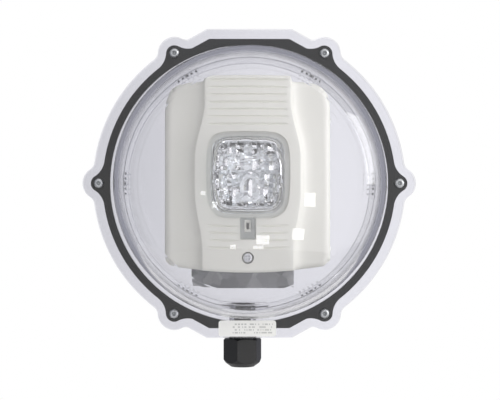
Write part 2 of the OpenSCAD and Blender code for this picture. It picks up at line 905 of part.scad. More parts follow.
rear_housing();
housing_inserts();
gasket();
dome();
dome_screws();
rating_label();
gland_body();
gland_washer();
gland_seal();
gland_thrust_ring();
gland_nut();
wiring_box();
box_screws();
box_grommet();
ground_screw();
mounting_plate();
plate_screws();
terminal_block();
terminal_screws();
contact_springs();
head_cover();
head_back();
assembly_screws();
head_screw();
circuit_board();
strobe_lens();
reflector();
flash_tube();
tube_leads();
flash_capacitor();
trigger_transformer();
contact_pins();
sounder_disc();
sounder_housing();
candela_slide();
candela_switch();
tone_selector();
selector_housing();
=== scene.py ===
"""Looks of a wall horn strobe inside a clear weather and vandal enclosure.

Lengths are in metres, +Z is up and the front faces -Y. The solids, their places and their
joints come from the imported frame. The operators below dress it and build the finer pieces.
"""

import math

import bmesh
import bpy
from bpy.props import FloatProperty, FloatVectorProperty, IntProperty, PointerProperty
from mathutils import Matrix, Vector


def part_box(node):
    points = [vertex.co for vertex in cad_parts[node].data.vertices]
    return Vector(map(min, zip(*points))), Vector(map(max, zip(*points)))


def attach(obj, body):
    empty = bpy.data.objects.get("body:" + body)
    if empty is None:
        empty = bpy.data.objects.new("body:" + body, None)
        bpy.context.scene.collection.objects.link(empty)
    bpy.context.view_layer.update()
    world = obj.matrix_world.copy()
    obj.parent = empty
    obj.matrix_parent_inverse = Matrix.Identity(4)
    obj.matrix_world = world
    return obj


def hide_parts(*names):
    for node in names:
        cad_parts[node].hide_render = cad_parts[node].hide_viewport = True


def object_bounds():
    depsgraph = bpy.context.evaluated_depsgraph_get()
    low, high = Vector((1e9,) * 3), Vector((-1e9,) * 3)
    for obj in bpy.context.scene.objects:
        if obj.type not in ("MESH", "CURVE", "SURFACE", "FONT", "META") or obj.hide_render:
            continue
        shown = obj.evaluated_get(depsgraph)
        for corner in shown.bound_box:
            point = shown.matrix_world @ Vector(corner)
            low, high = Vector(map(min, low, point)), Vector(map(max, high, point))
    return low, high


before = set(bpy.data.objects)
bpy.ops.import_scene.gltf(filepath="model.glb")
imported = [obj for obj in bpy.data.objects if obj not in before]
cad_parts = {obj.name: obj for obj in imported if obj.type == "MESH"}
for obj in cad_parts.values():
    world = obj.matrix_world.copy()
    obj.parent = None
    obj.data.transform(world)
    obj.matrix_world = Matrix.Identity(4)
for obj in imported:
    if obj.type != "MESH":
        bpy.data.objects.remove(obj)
cad_low, cad_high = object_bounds()

bl_info = {
    "name": "Horn strobe enclosure",
    "version": (1, 0, 0),
    "blender": (4, 5, 0),
    "location": "3D View > Sidebar > Horn Strobe",
    "description": "Builds the visible pieces, finishes and studio of a wall horn strobe",
    "category": "Object",
}

MM = 0.001
RIM_STEP = 0.4 * MM            # the inner wall of a moulding stops this far short of its back edge
LENS_SEAT = 2.2 * MM           # how deep the lens's border sits in the column
LENS_FLANGE = 2.5 * MM         # flange hidden round the lens, inside the head
COLUMN_STEP = 4 * MM           # how far the column's top end stands above the wings
COLUMN_ROUND = 1.5 * MM        # radius along the column's sides
FIRST_GROOVE_ABOVE = 5.9 * MM  # distance from the lens to the first groove above it
FIRST_GROOVE_BELOW = 5.6 * MM  # distance from the lens to the first groove below it
FIT = 0.05 * MM                # gap between two faces that only meet
TAB_SEAT = 1.3 * MM            # how deep the tab's recess is
WINDOW_UP = 9.5 * MM           # height of the slide's window over the end of the tab
COVER_SCREW_R, COVER_SCREW_H, COVER_SHANK_R = 3.6 * MM, 2.6 * MM, 1.9 * MM
HEAD_SCREW_H, HEAD_SHANK_R = 2.4 * MM, 1.85 * MM
BOWL_SHARE = 0.86              # share of the reflector's grid that becomes the round bowl
cover_low, cover_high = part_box("head_cover")
lens_low, lens_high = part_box("strobe_lens")


def linear(hex_colour):
    """Linear RGBA of an sRGB hex colour."""
    channels = [int(hex_colour[i:i + 2], 16) / 255 for i in (1, 3, 5)]
    return tuple(c / 12.92 if c <= 0.04045 else ((c + 0.055) / 1.055) ** 2.4 for c in channels) + (1.0,)


# ---- settings ----


def length(name, text, default):
    """A length property in metres."""
    return FloatProperty(name=name, description=text, default=default, min=0.0, unit="LENGTH",
                         subtype="DISTANCE")


def colour(name, text, hex_colour):
    """A colour property, held as linear RGBA."""
    return FloatVectorProperty(name=name, description=text, default=linear(hex_colour), size=4,
                               min=0.0, max=1.0, subtype="COLOR")


class HeadSettings(bpy.types.PropertyGroup):
    """Sizes and colour of the head's white moulding"""

    column_width: length("Column width", "Width of the raised column at its ends", 65 * MM)
    waist_width: length("Waist width", "Width of the column around the lens", 77.5 * MM)
    column_rise: length("Column rise", "How far the column stands out from the wings", 7 * MM)
    end_bow: length("End bow", "How much the foot bows between its middle and its corners", 5 * MM)
    edge_round: length("Edge round", "Radius round the wings' front edge", 5 * MM)
    groove_pitch: length("Groove pitch", "Distance between two grooves", 5.3 * MM)
    groove_depth: length("Groove depth", "Depth of a groove", 0.9 * MM)
    groove_width: length("Groove width", "Width of a groove", 1.5 * MM)
    grooves_above: IntProperty(name="Grooves above", description="Grooves above the lens",
                               default=7, min=1, max=7)
    grooves_below: IntProperty(name="Grooves below", description="Grooves below the lens",
                               default=4, min=1, max=4)
    wall: length("Wall", "Wall of the moulding", 2.5 * MM)
    white: colour("White", "Colour of the moulded shell", "#efeee3")


class LensSettings(bpy.types.PropertyGroup):
    """Sizes and tint of the lens"""

    width: length("Width", "Width of the lens", 60 * MM)
    height: length("Height", "Height of the lens", 62 * MM)
    border: length("Border", "Width of the flat border round the raised block", 3.6 * MM)
    prism_pitch: length("Prism pitch", "Distance between two prisms", 6.4 * MM)
    prism_depth: length("Prism depth", "Depth of a prism", 1.9 * MM)
    wall: length("Wall", "Wall of the lens", 2.4 * MM)
    tab_width: length("Tab width", "Width of the lower tab", 10.8 * MM)
    clear: colour("Clear", "Tint of the clear lens", "#f9fafa")


class ShellSettings(bpy.types.PropertyGroup):
    """Tints and colours of the enclosure"""

    dome_tint: colour("Dome tint", "Tint of the clear dome", "#f3f3f6")
    tub_tint: colour("Tub tint", "Tint of the clear tub", "#dfdfe4")
    gasket_black: colour("Gasket", "Colour of the gasket", "#32363a")
    nylon_black: colour("Gland", "Colour of the gland", "#131314")


class StageSettings(bpy.types.PropertyGroup):
    """Brightness and place of the stage"""

    backdrop: FloatProperty(name="Backdrop", description="Brightness behind the object", default=1.0)
    front: FloatProperty(name="Front", description="Brightness of the room in front", default=1.4)
    key_power: FloatProperty(name="Key", description="Power of the softbox on the right", default=9.0,
                             unit="POWER")
    floor_drop: length("Floor drop", "Distance from the object down to the floor", 180 * MM)


# ---- node and mesh helpers ----


def add(tree, kind, settings=None, links=None):
    """Adds a node. A setting is an attribute of the node or the value of an input; a link feeds an input."""
    node = tree.nodes.new(kind)
    for key, value in (settings or {}).items():
        if isinstance(key, str) and hasattr(node, key):
            setattr(node, key, value)
        else:
            node.inputs[key].default_value = value
    for key, socket in (links or {}).items():
        tree.links.new(socket, node.inputs[key])
    return node


def start_material(name):
    """An empty material with its tree, output and object coordinates."""
    material = bpy.data.materials.new(name)
    material.use_nodes = True
    tree = material.node_tree
    tree.nodes.clear()
    return material, tree, add(tree, "ShaderNodeOutputMaterial"), add(tree, "ShaderNodeTexCoord")


def feed(tree, node, key, value):
    """Puts a number, a colour or a socket into an input of a node."""
    if isinstance(value, bpy.types.NodeSocket):
        tree.links.new(value, node.inputs[key])
    else:
        node.inputs[key].default_value = value


def calc(tree, operation, *operands):
    """Result of a math node."""
    node = add(tree, "ShaderNodeMath", {"operation": operation})
    for key, operand in enumerate(operands):
        feed(tree, node, key, operand)
    return node.outputs["Value"]


def blend(tree, factor, first, second):
    """Result of mixing two colours."""
    node = add(tree, "ShaderNodeMix", {"data_type": "RGBA"}, {0: factor})
    feed(tree, node, 6, first)
    feed(tree, node, 7, second)
    return node.outputs[2]


def remap(tree, value, settings):
    """Result of mapping a value from one range to another."""
    return add(tree, "ShaderNodeMapRange", settings, {"Value": value}).outputs["Result"]


def noise(tree, coords, size, detail, roughness=0.5):
    """Noise in object coordinates, with patches of about a size in metres."""
    return add(tree, "ShaderNodeTexNoise", {"Scale": 1 / size, "Detail": detail, "Roughness": roughness},
               {"Vector": coords.outputs["Object"]}).outputs["Fac"]


def bump(tree, height, strength, distance):
    """Normal of a relief."""
    return add(tree, "ShaderNodeBump", {"Strength": strength, "Distance": distance},
               {"Height": height}).outputs["Normal"]


def dress(obj, material):
    """Gives an object's mesh one material, in a single slot."""
    obj.data.materials.clear()
    obj.data.materials.append(material)


def smooth_up_to(bm, sharp):
    """Smooths the shading over edges whose faces meet at less than an angle in degrees."""
    for face in bm.faces:
        face.smooth = True
    for edge in bm.edges:
        edge.smooth = len(edge.link_faces) == 2 and edge.calc_face_angle(0.0) < math.radians(sharp)


def soften(obj, sharp):
    """Smooth shading with sharp edges above an angle, after a cut."""
    bm = bmesh.new()
    bm.from_mesh(obj.data)
    smooth_up_to(bm, sharp)
    bm.to_mesh(obj.data)
    bm.free()


def finish_piece(bm, name, body, material, sharp):
    """Turns a bmesh into a finished piece at the origin that rides on a body, smooth up to an angle."""
    smooth_up_to(bm, sharp)
    mesh = bpy.data.meshes.new(name)
    bm.to_mesh(mesh)
    bm.free()
    obj = bpy.data.objects.new(name, mesh)
    bpy.context.scene.collection.objects.link(obj)
    dress(obj, material)
    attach(obj, body)
    return obj


def squircle(x, z, power):
    """A point of the unit square moved on to a squared circle of that power."""
    big = max(abs(x), abs(z))
    if big == 0.0:
        return x, z
    ratio = min(abs(x), abs(z)) / big
    shrink = (1.0 + ratio ** power) ** (-1.0 / power)
    return x * shrink, z * shrink


def smooth_step(t):
    """Eases from 0 to 1."""
    t = min(1.0, max(0.0, t))
    return t * t * (3.0 - 2.0 * t)


def place_grid(bm, columns, rows, place):
    """Makes a grid with an operator and places each vertex by its column and row."""
    made = bmesh.ops.create_grid(bm, x_segments=columns - 1, y_segments=rows - 1, size=1.0)
    for vertex in made["verts"]:
        i = round((vertex.co.x + 1.0) / 2.0 * (columns - 1))
        j = round((vertex.co.y + 1.0) / 2.0 * (rows - 1))
        vertex.co = place(i, j)
    return made["verts"]


def cut_away(obj, cutter_mesh):
    """Takes a closed bmesh out of an object and keeps the result as its mesh."""
    mesh = bpy.data.meshes.new("cutter")
    cutter_mesh.to_mesh(mesh)
    cutter_mesh.free()
    cutter = bpy.data.objects.new("cutter", mesh)
    bpy.context.scene.collection.objects.link(cutter)
    modifier = obj.modifiers.new("cut", "BOOLEAN")
    modifier.operation = "DIFFERENCE"
    modifier.solver = "EXACT"
    modifier.object = cutter
    bpy.context.view_layer.update()
    graph = bpy.context.evaluated_depsgraph_get()
    result = bpy.data.meshes.new_from_object(obj.evaluated_get(graph))
    obj.modifiers.clear()
    obj.data = result
    bpy.data.objects.remove(cutter)


def prism(outline, front, back):
    """A closed bmesh prism of an outline in X and Z, between two distances from the wall."""
    bm = bmesh.new()
    face = bm.faces.new([bm.verts.new((x, -front, z)) for x, z in outline])
    made = bmesh.ops.extrude_face_region(bm, geom=[face])["geom"]
    moved = [g for g in made if isinstance(g, bmesh.types.BMVert)]
    bmesh.ops.translate(bm, verts=moved, vec=(0.0, front - back, 0.0))
    bmesh.ops.recalc_face_normals(bm, faces=bm.faces)
    return bm


# ---- finishes ----


def clear_polycarbonate(name, tint, waviness):
    """Injection moulded polycarbonate, clear with a faint violet cast. The mould leaves it glossy, but its
    walls are a little wavy, which breaks the reflections. Lamps inside it shine through."""
    material, tree, output, coords = start_material(name)
    ripple = bump(tree, noise(tree, coords, 28 * MM, 1.0, 0.4), waviness, 0.6 * MM)
    plastic = add(tree, "ShaderNodeBsdfPrincipled",
                  {"Base Color": tint, "Transmission Weight": 1.0, "IOR": 1.58, "Roughness": 0.015},
                  {"Normal": ripple})
    lamp_ray = add(tree, "ShaderNodeLightPath")
    through = add(tree, "ShaderNodeBsdfTransparent", {"Color": tint})
    mix = add(tree, "ShaderNodeMixShader", {}, {0: lamp_ray.outputs["Is Shadow Ray"],
                                                1: plastic.outputs["BSDF"], 2: through.outputs["BSDF"]})
    tree.links.new(mix.outputs["Shader"], output.inputs["Surface"])
    return material


def moulded_plastic(name, base, roughness, grain, grain_depth, mottle=0.06):
    """Injection moulded plastic. The mould's spark-eroded grain gives a soft sheen, and the tone drifts a
    little where the melt flowed. The grain is drawn coarser than the real 0.1 mm, so that it shows."""
    material, tree, output, coords = start_material(name)
    drift = noise(tree, coords, 35 * MM, 3.0)
    darker = tuple(c * (1.0 - 2 * mottle) for c in base[:3]) + (1.0,)
    sheen = remap(tree, drift, {"To Min": roughness - 0.05, "To Max": roughness + 0.05})
    plastic = add(tree, "ShaderNodeBsdfPrincipled", {"IOR": 1.5},
                  {"Base Color": blend(tree, drift, darker, base), "Roughness": sheen,
                   "Normal": bump(tree, noise(tree, coords, grain, 2.0), 0.5, grain_depth)})
    tree.links.new(plastic.outputs["BSDF"], output.inputs["Surface"])
    return material


def moulded_rubber(name, base):
    """Compression moulded rubber: matt, a little dusty, with a fine pebble."""
    material, tree, output, coords = start_material(name)
    greyer = tuple(c * 1.6 + 0.01 for c in base[:3]) + (1.0,)
    tone = blend(tree, noise(tree, coords, 9 * MM, 5.0, 0.65), base, greyer)
    pebble = add(tree, "ShaderNodeTexVoronoi", {"Scale": 1 / (0.9 * MM)},
                 {"Vector": coords.outputs["Object"]})
    rubber = add(tree, "ShaderNodeBsdfPrincipled", {"Roughness": 0.62, "IOR": 1.52},
                 {"Base Color": tone, "Normal": bump(tree, pebble.outputs["Distance"], 0.3, 0.08 * MM)})
    tree.links.new(rubber.outputs["BSDF"], output.inputs["Surface"])
    return material


def galvanised_sheet(name, light, dark):
    """Hot dip galvanised steel sheet: grey zinc crystals, each with its own sheen, and a dull oxide bloom."""
    material, tree, output, coords = start_material(name)
    crystals = add(tree, "ShaderNodeTexVoronoi", {"Scale": 1 / (7 * MM), "Randomness": 0.95},
                   {"Vector": coords.outputs["Object"]})
    shade = add(tree, "ShaderNodeSeparateColor", {}, {"Color": crystals.outputs["Color"]})
    sheen = remap(tree, shade.outputs["Green"], {"To Min": 0.34, "To Max": 0.62})
    zinc = add(tree, "ShaderNodeBsdfPrincipled", {"Metallic": 0.9},
               {"Base Color": blend(tree, shade.outputs["Red"], dark, light), "Roughness": sheen,
                "Normal": bump(tree, noise(tree, coords, 1.2 * MM, 4.0), 0.2, 0.06 * MM)})
    tree.links.new(zinc.outputs["BSDF"], output.inputs["Surface"])
    return material


def turned_metal(name, base, roughness, mark_pitch):
    """Turned or drawn metal: bright, with fine tool marks and a few smudges."""
    material, tree, output, coords = start_material(name)
    smudge = noise(tree, coords, 4 * MM, 3.0)
    sheen = remap(tree, smudge, {"To Min": roughness * 0.7, "To Max": roughness * 1.4})
    metal = add(tree, "ShaderNodeBsdfPrincipled", {"Base Color": base, "Metallic": 1.0},
                {"Roughness": sheen,
                 "Normal": bump(tree, noise(tree, coords, mark_pitch, 2.0), 0.35, 0.03 * MM)})
    tree.links.new(metal.outputs["BSDF"], output.inputs["Surface"])
    return material


def printed_film(name, white, ink, centre, line_pitch):
    """White polyester label film: smooth and satin, with rows of faint grey dashes that stop short of its
    edges. They are too broken to be letters."""
    material, tree, output, coords = start_material(name)
    rows = add(tree, "ShaderNodeMapping", {"Location": tuple(-c / line_pitch for c in centre),
                                           "Scale": (1 / (0.8 * MM), 1 / line_pitch, 1 / line_pitch)},
               {"Vector": coords.outputs["Object"]})
    split = add(tree, "ShaderNodeSeparateXYZ", {}, {"Vector": rows.outputs["Vector"]})
    in_row = calc(tree, "GREATER_THAN", calc(tree, "PINGPONG", split.outputs["Z"], 0.5), 0.24)
    cell = add(tree, "ShaderNodeCombineXYZ", {}, {"X": calc(tree, "FLOOR", split.outputs["X"]),
                                                  "Y": calc(tree, "FLOOR", split.outputs["Z"])})
    dashes = add(tree, "ShaderNodeTexWhiteNoise", {"noise_dimensions": "2D"},
                 {"Vector": cell.outputs["Vector"]})
    marked = calc(tree, "GREATER_THAN", dashes.outputs["Value"], 0.5)
    margins = add(tree, "ShaderNodeMapping", {"Location": (-centre[0] - 4 * MM, 0.0, -centre[2])},
                  {"Vector": coords.outputs["Object"]})
    reach = add(tree, "ShaderNodeSeparateXYZ", {}, {"Vector": margins.outputs["Vector"]})
    beside = calc(tree, "LESS_THAN", calc(tree, "ABSOLUTE", reach.outputs["X"]), 15 * MM)
    within = calc(tree, "LESS_THAN", calc(tree, "ABSOLUTE", reach.outputs["Z"]), 4.6 * MM)
    kept = calc(tree, "MULTIPLY", calc(tree, "MULTIPLY", in_row, marked),
                calc(tree, "MULTIPLY", beside, within))
    tone = blend(tree, calc(tree, "MULTIPLY", kept, 0.4), white, ink)
    film = add(tree, "ShaderNodeBsdfPrincipled", {"Roughness": 0.38, "IOR": 1.5}, {"Base Color": tone})
    tree.links.new(film.outputs["BSDF"], output.inputs["Surface"])
    return material


# ---- pieces ----


def both_ways(half_lines):
    """Mirrors a rising list of positive lines, so that it runs from minus to plus."""
    return [-line for line in reversed(half_lines)] + [line for line in half_lines if line > 0]


def even_lines(low, high, steps):
    """Evenly spaced lines from low up to, but not counting, high."""
    return [low + (high - low) * i / steps for i in range(steps)]


def pull(bm, loop, move):
    """Extrudes a loop of edges, moves its new vertices and returns the new loop."""
    made = bmesh.ops.extrude_edge_only(bm, edges=loop)["geom"]
    fresh = {item for item in made if isinstance(item, bmesh.types.BMVert)}
    for vertex in fresh:
        vertex.co = move(vertex.co)
    return [item for item in made if isinstance(item, bmesh.types.BMEdge) and fresh.issuperset(item.verts)]


def cup(bm, columns, rows, place, depths, centre, draft=0.0):
    """One wall of a moulding: a front grid whose edge is pulled back to the wall at each of the depths. Draft
    is how much the wall spreads for each metre of depth."""
    before = set(bm.edges)
    place_grid(bm, columns, rows, place)
    loop = [edge for edge in bm.edges if edge not in before and len(edge.link_faces) == 1]
    for share in depths:
        def back(co):
            y = co.y + (share[1] - co.y) * share[0]
            spread = 1.0 + draft * (y - co.y)
            return Vector((centre[0] + (co.x - centre[0]) * spread, y,
                           centre[1] + (co.z - centre[1]) * spread))
        loop = pull(bm, loop, back)
    return loop


class HeadShape:
    """Works out the front of the head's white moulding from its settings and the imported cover."""

    def __init__(self, settings):
        low, high = cover_low, cover_high
        self.settings = settings
        self.x = (low.x + high.x) / 2
        self.z = (low.z + high.z) / 2
        self.half_w = (high.x - low.x) / 2
        self.half_h = (high.z - low.z) / 2
        self.back = high.y
        self.wing = -low.y - settings.column_rise
        self.lens_z = lens_mid_z()

    def column_half(self, z):
        """Half width of the column at a height."""
        away = abs(z - self.lens_z)
        end = self.settings.column_width + (2 * MM if z < self.lens_z else -2 * MM)
        ease = (1 - math.cos(math.pi * min(1.0, max(0.0, (away - 12 * MM) / (44 * MM))))) / 2
        return (self.settings.waist_width + (end - self.settings.waist_width) * ease) / 2

    def groove(self, x, v):
        """Depth of the grooves at a place on the column."""
        s = self.settings
        mid_z = self.z + v * self.half_h
        lens_top = self.lens_z + lens_settings().height / 2
        lens_bottom = self.lens_z - lens_settings().height / 2
        centres = [lens_top + FIRST_GROOVE_ABOVE + i * s.groove_pitch for i in range(s.grooves_above)]
        inner = -1.0
        if mid_z < self.lens_z:
            centres = [lens_bottom - FIRST_GROOVE_BELOW - i * s.groove_pitch for i in range(s.grooves_below)]
            inner = lens_settings().tab_width / 2 + 2.5 * MM
        away = min(abs(mid_z - c) for c in centres)
        reach = s.column_width / 2 - 4.5 * MM
        ends = smooth_step((reach - abs(x)) / (1.5 * MM)) * smooth_step((abs(x) - inner) / (1.5 * MM))
        across = max(0.0, 1.0 - (away / (s.groove_width / 2)) ** 2)
        return s.groove_depth * ends * math.sqrt(across)

    def groove_rows(self):
        """Heights of the grooves' grid lines, as shares of the half height."""
        s = self.settings
        lens_half = lens_settings().height / 2
        steps = [t * s.groove_width / 2 for t in (-1.02, -0.86, -0.5, 0.0, 0.5, 0.86, 1.02)]
        above = [self.lens_z + lens_half + FIRST_GROOVE_ABOVE + i * s.groove_pitch
                 for i in range(s.grooves_above)]
        below = [self.lens_z - lens_half - FIRST_GROOVE_BELOW - i * s.groove_pitch
                 for i in range(s.grooves_below)]
        return [(c + t - self.z) / self.half_h for c in above + below for t in steps]

    def front(self, u, v, inset, grooved):
        """A point of the front: u across the column or the wing, v up, drawn in by an inset."""
        s = self.settings
        band, share = u
        z = self.z + v * self.half_h
        edge = self.column_half(z)
        side = math.copysign(1.0, share)
        if band == "column":
            x = share * edge
        elif band == "edge":
            x = side * edge + share
        else:
            start = edge + EDGE_LINES[-1]
            x = side * (start + (abs(share) - 1.0) * (self.half_w - start))
        beyond = abs(x) - edge
        inside = 1.0 - smooth_step((beyond + COLUMN_ROUND) / (2.5 * MM))
        if v > 0:
            bow = 0.5 * MM * min(1.0, (x / edge) ** 2)
            half_h = self.half_h - COLUMN_STEP + inside * (COLUMN_STEP - bow)
        else:
            half_h = self.half_h - s.end_bow * (x / self.half_w) ** 2
        rise = s.column_rise
        if beyond > -COLUMN_ROUND:
            turn = min(1.0, (beyond + COLUMN_ROUND) / COLUMN_ROUND)
            rise -= COLUMN_ROUND * (1.0 - math.sqrt(1.0 - turn * turn))
        if beyond > 0:
            rise = (s.column_rise - COLUMN_ROUND) * math.exp(-beyond / (2.4 * MM))
        corner = s.edge_round * (1.0 - 0.55 * inside)
        side_in = max(0.0, corner - (self.half_w - abs(x)))
        end_in = max(0.0, corner - (1.0 - abs(v)) * half_h)
        over = min(corner, math.hypot(side_in, end_in))
        drop = corner - math.sqrt(max(0.0, corner * corner - over * over))
        depth = self.wing + rise - drop - (self.groove(x, v) if grooved else 0.0)
        across = x / self.half_w
        near = smooth_step((max(abs(across), abs(v)) - 0.78) / 0.22)
        mapped = squircle(across, v, 10 if v > 0 else 36)
        across += (mapped[0] - across) * near
        up = v + (mapped[1] - v) * near
        shrink = 1.0 - inset / self.half_w
        shrink_up = 1.0 - inset / self.half_h
        return Vector((self.x + across * self.half_w * shrink, -(depth - inset),
                       self.z + up * half_h * shrink_up))


EDGE_LINES = [t * MM for t in (0.0, 0.35, 0.8, 1.4, 2.2, 3.2, 4.5, 6.2, 8.5)]
ROUND_LINES = (0.0, 0.03, 0.12, 0.28, 0.5, 0.75, 1.0)


def lens_settings():
    """The lens's settings in the scene."""
    return bpy.context.scene.horn_strobe_lens


def lens_mid_z():
    """Height of the middle of the lens, without its lower tab."""
    return lens_high.z - LENS_FLANGE - lens_settings().height / 2


def build_head(settings):
    """The head's white front moulding as a closed shell, still without the lens opening, the screw recess and
    the sound outlets.
    """
    shape = HeadShape(settings)
    rounding = [settings.edge_round * t for t in ROUND_LINES]
    column_edge = [1.0 - t * MM / shape.column_half(shape.z) for t in (1.5, 1.2, 0.85, 0.5, 0.22)]
    column = both_ways(even_lines(0.0, column_edge[0] - 0.02, 15) + column_edge)
    wing_w = shape.half_w - shape.column_half(shape.lens_z) - EDGE_LINES[-1]
    wing = even_lines(1.0, 2.0 - settings.edge_round / wing_w, 6)[1:] + \
        [2.0 - t / wing_w for t in reversed(rounding)]
    columns = ([("wing", -s) for s in reversed(wing)] + [("edge", -s) for s in reversed(EDGE_LINES)]
               + [("column", s) for s in column]
               + [("edge", s) for s in EDGE_LINES] + [("wing", s) for s in wing])
    end_rows = [1.0 - t / shape.half_h for t in reversed(rounding)]
    groove_rows = shape.groove_rows()
    plain_rows = even_lines(-0.97, 0.97, 64)
    rows = sorted(groove_rows + end_rows + [-r for r in end_rows]
                  + [r for r in plain_rows if min(abs(r - g) for g in groove_rows) > 0.008])
    bm = bmesh.new()
    depths = ((0.25, shape.back), (0.6, shape.back), (1.0, shape.back))
    inner_depths = ((0.25, shape.back), (0.6, shape.back), (1.0, shape.back - RIM_STEP))
    middle = (shape.x, shape.z)
    outer = cup(bm, len(columns), len(rows), lambda i, j: shape.front(columns[i], rows[j], 0.0, True),
                depths, middle, 0.25)
    inner = cup(bm, len(columns), len(rows),
                lambda i, j: shape.front(columns[i], rows[j], settings.wall, False),
                inner_depths, middle, 0.25)
    bmesh.ops.bridge_loops(bm, edges=outer + inner)
    bmesh.ops.recalc_face_normals(bm, faces=bm.faces)
    return bm, shape


def head_cutters(shape):
    """Closed meshes of what is cut out of the head's moulding: the lens's seat and opening, the recess for
    its tab with the slide's window and slit, the screw's recess and hole, and the sound outlets."""
    lens = lens_settings()
    front = shape.wing + 30 * MM
    gap = 0.5 * MM
    seat = [(shape.x + x, shape.lens_z + z) for x, z in lens_outline(lens, gap)]
    opening = [(shape.x + x, shape.lens_z + z) for x, z in lens_outline(lens, -lens.border)]
    tab_low = tab_bottom() - gap
    half_tab = lens.tab_width / 2 + gap
    slot = [(shape.x - half_tab, tab_low), (shape.x + half_tab, tab_low),
            (shape.x + half_tab, shape.lens_z), (shape.x - half_tab, shape.lens_z)]
    screw_low, screw_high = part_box("head_screw")
    screw_z = (screw_low.z + screw_high.z) / 2
    recess_r = (screw_high.x - screw_low.x) / 2 + 0.3 * MM
    recess_y = -screw_low.y - HEAD_SCREW_H
    recess = circle(shape.x, screw_z, recess_r)
    hole = circle(shape.x, screw_z, recess_r * 0.55)
    window_z = tab_bottom() + WINDOW_UP
    window = rectangle(shape.x, window_z, 1.1 * MM, 2.4 * MM)
    slit = rectangle(shape.x + 2.5 * MM, window_z, 0.35 * MM, 4 * MM)
    through = shape.wing - 12 * MM
    face = -cover_low.y
    cutters = [prism(seat, front, face - LENS_SEAT), prism(opening, front, through),
               prism(slot, front, face - TAB_SEAT), prism(window, front, through),
               prism(slit, front, through), prism(recess, front, recess_y), prism(hole, front, through)]
    for i in range(-2, 3):
        outlet = rectangle(shape.x + i * 10 * MM, cover_high.z + 1 * MM, 3 * MM, 6 * MM)
        cutters.append(prism(outlet, shape.wing - 4 * MM, shape.wing - 18 * MM))
    return cutters


def around(steps):
    """Angles round a circle."""
    return [i * 2 * math.pi / steps for i in range(steps)]


def circle(x, z, radius):
    """Points of a circle."""
    return [(x + radius * math.cos(a), z + radius * math.sin(a)) for a in around(40)]


def rectangle(x, z, half_w, half_h):
    """Corners of a rectangle."""
    return [(x + sx * half_w, z + sz * half_h) for sx, sz in ((-1, -1), (1, -1), (1, 1), (-1, 1))]


def tab_bottom():
    """Height of the end of the lens's tab."""
    return lens_low.z + LENS_FLANGE


def lens_place(lens, u, v):
    """Maps the unit square on to the outline of the lens, whose sides bulge and whose foot is narrower."""
    x, z = squircle(u, v, 6)
    waist = 1.0 - (0.05 if v > 0 else 0.085) * v * v
    crown = 1.0 - 0.03 * u * u
    return x * lens.width / 2 * waist, z * lens.height / 2 * crown


def lens_outline(lens, grow):
    """Points round the lens, grown by a gap."""
    steps = 24
    side = [-1 + 2 * i / steps for i in range(steps)]
    square = ([(1, t) for t in side] + [(-t, 1) for t in side]
              + [(-1, -t) for t in side] + [(t, -1) for t in side])
    scale = 1 + 2 * grow / lens.width
    return [(x * scale, z * scale) for x, z in (lens_place(lens, u, v) for u, v in square)]


# The lens from its rim inwards, across the flat border and up the side of the block: distance as a share
# of the border's width, and rise as a share of the lens's
LENS_PROFILE = ((0.0, -0.02), (0.1, 0.05), (0.22, 0.075), (0.88, 0.09), (1.0, 0.14), (1.14, 0.5),
                (1.3, 0.86), (1.6, 0.97))


def along_profile(profile, place):
    """Height of a profile of straight stretches at a place."""
    for (from_t, from_rise), (to_t, to_rise) in zip(profile, profile[1:]):
        if place <= to_t:
            return from_rise + (to_rise - from_rise) * max(0.0, place - from_t) / (to_t - from_t)
    return profile[-1][1]


def zigzag(value, pitch):
    """A saw with equal slopes, from 0 at each multiple of the pitch to 1 half way."""
    part = value / pitch % 1.0
    return 1.0 - abs(2.0 * part - 1.0)


def build_lens(lens):
    """The clear lens: a flat border that sits in the column's seat, and a block of prisms that stands out of
    it, crossed on the inside by others."""
    centre_x = (lens_low.x + lens_high.x) / 2
    centre_z = lens_mid_z()
    front = -lens_low.y
    base = -cover_low.y
    edge = [t * lens.border for t, rise in LENS_PROFILE]
    half_pitch = lens.prism_pitch / 2

    def lines(half):
        inner = [i * half_pitch for i in range(int((half - edge[-1]) / half_pitch) + 1)]
        if half - edge[-1] - inner[-1] < 0.3 * half_pitch:
            inner.pop()
        return both_ways([t / half for t in inner] + [1 - t / half for t in reversed(edge)])

    us, vs = lines(lens.width / 2), lines(lens.height / 2)

    def wall(inset, outside):
        def place(i, j):
            u, v = us[i], vs[j]
            x, z = u * lens.width / 2, v * lens.height / 2
            t = min(lens.width / 2 - abs(x), lens.height / 2 - abs(z))
            depth = base + (front - base) * along_profile(LENS_PROFILE, t / lens.border)
            if t > edge[-1] + 0.1 * MM:
                depth -= 1.2 * MM * (u * u + v * v)
                facet = lens.prism_depth / 3 * ((3 * i + 5 * j + i * j) % 4)
                if outside:
                    depth -= facet * 0.6 + lens.prism_depth * zigzag(z, 4 * half_pitch) * (abs(v) > 0.25)
                else:
                    depth -= facet + lens.prism_depth * zigzag(x + (half_pitch if v > 0.1 else 0.0),
                                                               2 * half_pitch)
            px, pz = lens_place(lens, u, v)
            draw = 1.0 - 2 * inset / lens.width
            drop = inset * min(1.0, t / (0.5 * MM))
            return Vector((centre_x + px * draw, -(depth - drop), centre_z + pz * draw))
        return place

    bm = bmesh.new()
    back = cover_low.y + LENS_SEAT - FIT
    outer = cup(bm, len(us), len(vs), wall(0.0, True), ((1.0, back),), (centre_x, centre_z))
    inner = cup(bm, len(us), len(vs), wall(lens.wall, False), ((1.0, back - RIM_STEP),),
                (centre_x, centre_z))
    bmesh.ops.bridge_loops(bm, edges=outer + inner)
    bmesh.ops.recalc_face_normals(bm, faces=bm.faces)
    return bm


